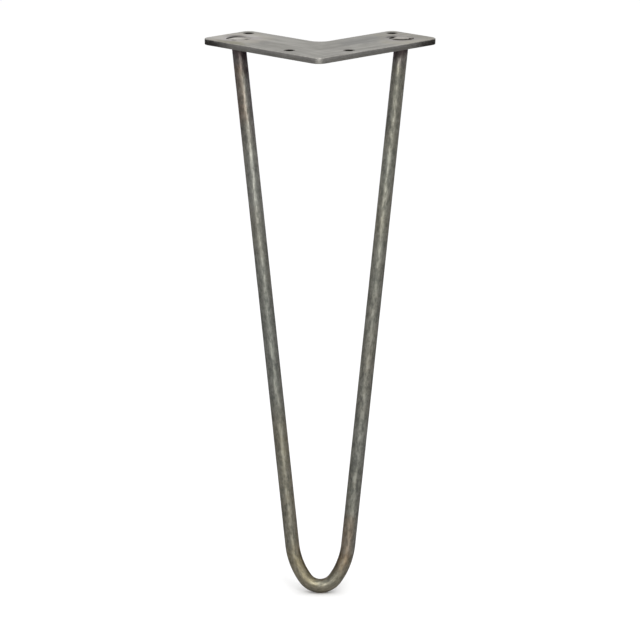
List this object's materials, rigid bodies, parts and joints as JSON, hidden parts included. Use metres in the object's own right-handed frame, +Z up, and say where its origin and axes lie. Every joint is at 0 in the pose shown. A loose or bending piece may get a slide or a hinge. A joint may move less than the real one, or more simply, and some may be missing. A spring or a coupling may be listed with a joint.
{
  "type": "hairpin table leg",
  "caption": "Hairpin table leg: a round steel bar bent to a narrow U, leaning out at the foot, welded into a V-shaped plate that screws under a table's corner.",
  "frame": {"origin": "midway between the front pair of screw holes, on the plate's top face", "axes": "+Z up, out of the top face that meets the table; +X to the right, from the left end of the rod to the right; -Y towards the plate's outer corner"},
  "size_m": [0.1924, 0.133, 0.4569],
  "materials": {
    "plate_steel": "raw mild steel plate, dull grey, with faint blotches and yellow-brown heat tint round the welds",
    "bar_steel": "raw drawn mild steel bar, olive grey, streaked along its length, with brown tint near the bend",
    "weld_metal": "weld metal, dressed below the plate, with dark oxide in its groove"
  },
  "bodies": {
    "root": {"mounting_plate": "plate_steel", "hairpin_rod": "bar_steel", "weld_left": "weld_metal", "weld_right": "weld_metal"}
  },
  "joints": []
}
